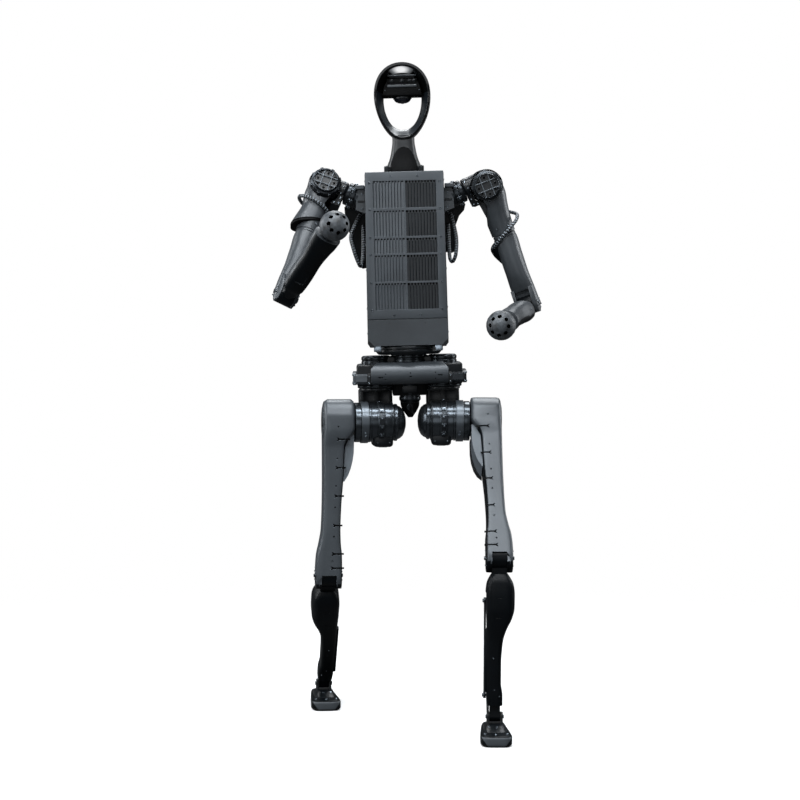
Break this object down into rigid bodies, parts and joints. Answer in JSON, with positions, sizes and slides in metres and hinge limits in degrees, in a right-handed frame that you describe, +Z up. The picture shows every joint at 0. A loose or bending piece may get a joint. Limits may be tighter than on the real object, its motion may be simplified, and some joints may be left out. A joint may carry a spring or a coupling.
{
  "type": "humanoid robot",
  "caption": "Full-size two-legged research robot in mid-stride: slab torso with a louvred front, open ring head, ball-ended arms and long jointed legs.",
  "frame": {"origin": "on the floor, at the middle of the bounding box of the robot in its stance", "axes": "+Z up, the robot faces -Y, +X towards its left hand"},
  "size_m": [0.7018, 0.6122, 1.7216],
  "materials": {
    "casing": "satin dark grey paint",
    "panel": "slate grey, fine grain",
    "black": "satin black moulding",
    "gloss": "polished black",
    "motor": "black anodised",
    "pad": "mid grey soft-touch",
    "rubber": "matt black rubber",
    "steel": "machined",
    "lens": "dark dome",
    "battery": "wrapped pack",
    "board": "boxed electronics",
    "cable": "spiral-wrapped cable"
  },
  "bodies": {
    "pelvis": {"hip_yaw_motor_left": "motor", "hip_yaw_motor_right": "motor", "pelvis_end_cap_left": "black", "pelvis_end_cap_right": "black", "pelvis_frame": "black", "pelvis_front_cover": "pad", "waist_motor": "motor"},
    "torso": {"back_cover": "casing", "battery_cover": "panel", "battery_pack": "battery", "computer_unit": "board", "front_grille": "panel", "head_ring": "gloss", "lidar": "lens", "neck": "casing", "sensor_bar": "black", "shoulder_cable_left": "cable", "shoulder_cable_right": "cable", "shoulder_pitch_motor_left": "motor", "shoulder_pitch_motor_right": "motor", "torso_shell": "panel", "waist_turntable": "black"},
    "hip_left": {"hip_bracket_left": "black", "hip_roll_motor_left": "motor"},
    "hip_carrier_left": {"hip_pitch_motor_left": "motor"},
    "thigh_left": {"knee_motor_left": "motor", "thigh_back_cover_left": "panel", "thigh_pad_left": "pad", "thigh_shell_left": "casing"},
    "shank_left": {"shank_shell_left": "black"},
    "foot_left": {"ankle_clevis_left": "black", "foot_sole_left": "rubber"},
    "crank_left": {"ankle_crank_left": "steel"},
    "rod_left": {"ankle_rod_left": "motor"},
    "shoulder_left": {"shoulder_link_left": "black"},
    "upper_arm_left": {"arm_cable_left": "cable", "shoulder_cap_left": "motor", "upper_arm_casing_left": "casing"},
    "lower_arm_left": {"lower_arm_casing_left": "casing"},
    "forearm_left": {"arm_end_ball_left": "black", "forearm_casing_left": "casing"},
    "hip_right": {"hip_bracket_right": "black", "hip_roll_motor_right": "motor"},
    "hip_carrier_right": {"hip_pitch_motor_right": "motor"},
    "thigh_right": {"knee_motor_right": "motor", "thigh_back_cover_right": "panel", "thigh_pad_right": "pad", "thigh_shell_right": "casing"},
    "shank_right": {"shank_shell_right": "black"},
    "foot_right": {"ankle_clevis_right": "black", "foot_sole_right": "rubber"},
    "crank_right": {"ankle_crank_right": "steel"},
    "rod_right": {"ankle_rod_right": "motor"},
    "shoulder_right": {"shoulder_link_right": "black"},
    "upper_arm_right": {"arm_cable_right": "cable", "shoulder_cap_right": "motor", "upper_arm_casing_right": "casing"},
    "lower_arm_right": {"lower_arm_casing_right": "casing"},
    "forearm_right": {"arm_end_ball_right": "black", "forearm_casing_right": "casing"}
  },
  "joints": [
    {"name": "waist_yaw", "type": "hinge", "parent": "pelvis", "child": "torso", "pos_m": [0.00089, 0.07253, 0.96105], "axis": [-0.0321, -0.0004, 0.9995], "range_deg": [-133.5, 136.5]},
    {"name": "hip_yaw_left", "type": "hinge", "parent": "pelvis", "child": "hip_left", "pos_m": [0.09393, 0.07366, 0.78975], "axis": [-0.0321, -0.0004, 0.9995], "range_deg": [-24.6, 24.6]},
    {"name": "hip_roll_left", "type": "hinge", "parent": "hip_left", "child": "hip_carrier_left", "pos_m": [0.09442, 0.03417, 0.78975], "axis": [0.0122, -0.9999, 0], "range_deg": [-22.8, 26.4]},
    {"name": "hip_pitch_left", "type": "hinge", "parent": "hip_carrier_left", "child": "thigh_left", "pos_m": [0.20977, 0.03557, 0.78975], "axis": [0.9999, 0.0122, 0], "range_deg": [-56.5, 100]},
    {"name": "knee_left", "type": "hinge", "parent": "thigh_left", "child": "shank_left", "pos_m": [0.21246, -0.18515, 0.45618], "axis": [0.9999, 0.0122, 0], "range_deg": [-46.2, 86.3]},
    {"name": "ankle_left", "type": "hinge", "parent": "shank_left", "child": "foot_left", "pos_m": [0.21266, -0.20121, 0.0565], "axis": [0.9999, 0.0122, 0], "range_deg": [-52.3, 27.7]},
    {"name": "ankle_crank_turn_left", "type": "hinge", "parent": "shank_left", "child": "crank_left", "pos_m": [0.21254, -0.19157, 0.29631], "axis": [0.9999, 0.0122, 0], "range_deg": [-52.3, 27.7]},
    {"name": "ankle_rod_swing_left", "type": "hinge", "parent": "crank_left", "child": "rod_left", "pos_m": [0.21213, -0.15758, 0.34431], "axis": [0.9999, 0.0122, 0], "range_deg": [-27.7, 52.3]},
    {"name": "shoulder_pitch_left", "type": "hinge", "parent": "torso", "child": "shoulder_left", "pos_m": [0.14226, 0.06469, 1.39581], "axis": [0.8922, -0.0128, 0.4515], "range_deg": [-135, 160]},
    {"name": "shoulder_roll_left", "type": "hinge", "parent": "shoulder_left", "child": "upper_arm_left", "pos_m": [0.20006, 0.07031, 1.40691], "axis": [0.0121, -0.9986, -0.0522], "range_deg": [-24, 110]},
    {"name": "arm_yaw_left", "type": "hinge", "parent": "upper_arm_left", "child": "lower_arm_left", "pos_m": [0.24893, 0.07743, 1.28202], "axis": [-0.3639, -0.053, 0.9299], "range_deg": [-32, 250]},
    {"name": "elbow_left", "type": "hinge", "parent": "lower_arm_left", "child": "forearm_left", "pos_m": [0.31496, 0.07076, 1.09456], "axis": [-0.8727, 0.3684, -0.3205], "range_deg": [-152, 46]},
    {"name": "hip_yaw_right", "type": "hinge", "parent": "pelvis", "child": "hip_right", "pos_m": [-0.08096, 0.07153, 0.78413], "axis": [-0.0321, -0.0004, 0.9995], "range_deg": [-31, 18.2]},
    {"name": "hip_roll_right", "type": "hinge", "parent": "hip_right", "child": "hip_carrier_right", "pos_m": [-0.07608, 0.03233, 0.78427], "axis": [0.1235, -0.9923, 0.0036], "range_deg": [-22.8, 26.4]},
    {"name": "hip_pitch_right", "type": "hinge", "parent": "hip_carrier_right", "child": "thigh_right", "pos_m": [-0.19056, 0.01808, 0.78427], "axis": [0.9923, 0.1235, 0], "range_deg": [-86.8, 70]},
    {"name": "knee_right", "type": "hinge", "parent": "thigh_right", "child": "shank_right", "pos_m": [-0.18762, -0.0055, 0.38498], "axis": [0.9923, 0.1235, 0], "range_deg": [-53.2, 79.3]},
    {"name": "ankle_right", "type": "hinge", "parent": "shank_right", "child": "foot_right", "pos_m": [-0.21582, 0.22101, 0.0565], "axis": [0.9923, 0.1235, 0], "range_deg": [-15.2, 64.8]},
    {"name": "ankle_crank_turn_right", "type": "hinge", "parent": "shank_right", "child": "crank_right", "pos_m": [-0.1989, 0.0851, 0.25359], "axis": [0.9923, 0.1235, 0], "range_deg": [-15.2, 64.8]},
    {"name": "ankle_rod_swing_right", "type": "hinge", "parent": "crank_right", "child": "rod_right", "pos_m": [-0.20311, 0.11884, 0.30159], "axis": [0.9923, 0.1235, 0], "range_deg": [-64.8, 15.2]},
    {"name": "shoulder_pitch_right", "type": "hinge", "parent": "torso", "child": "shoulder_right", "pos_m": [-0.16825, 0.06903, 1.38584], "axis": [0.9193, -0.0125, -0.3933], "range_deg": [-84, 185]},
    {"name": "shoulder_roll_right", "type": "hinge", "parent": "shoulder_right", "child": "upper_arm_right", "pos_m": [-0.22699, 0.06743, 1.39222], "axis": [0.1624, -0.8984, 0.408], "range_deg": [-115, 30]},
    {"name": "arm_yaw_right", "type": "hinge", "parent": "upper_arm_right", "child": "lower_arm_right", "pos_m": [-0.26552, 0.00852, 1.27785], "axis": [0.2869, 0.4387, 0.8516], "range_deg": [-236, 59]},
    {"name": "elbow_right", "type": "hinge", "parent": "lower_arm_right", "child": "forearm_right", "pos_m": [-0.31481, -0.09426, 1.1149], "axis": [0.8678, 0.2575, -0.425], "range_deg": [-19, 180]}
  ],
  "couplings": [
    {"joint": "ankle_crank_turn_left", "follows": "ankle_left", "ratio": 1},
    {"joint": "ankle_rod_swing_left", "follows": "ankle_left", "ratio": -1},
    {"joint": "ankle_crank_turn_right", "follows": "ankle_right", "ratio": 1},
    {"joint": "ankle_rod_swing_right", "follows": "ankle_right", "ratio": -1}
  ]
}
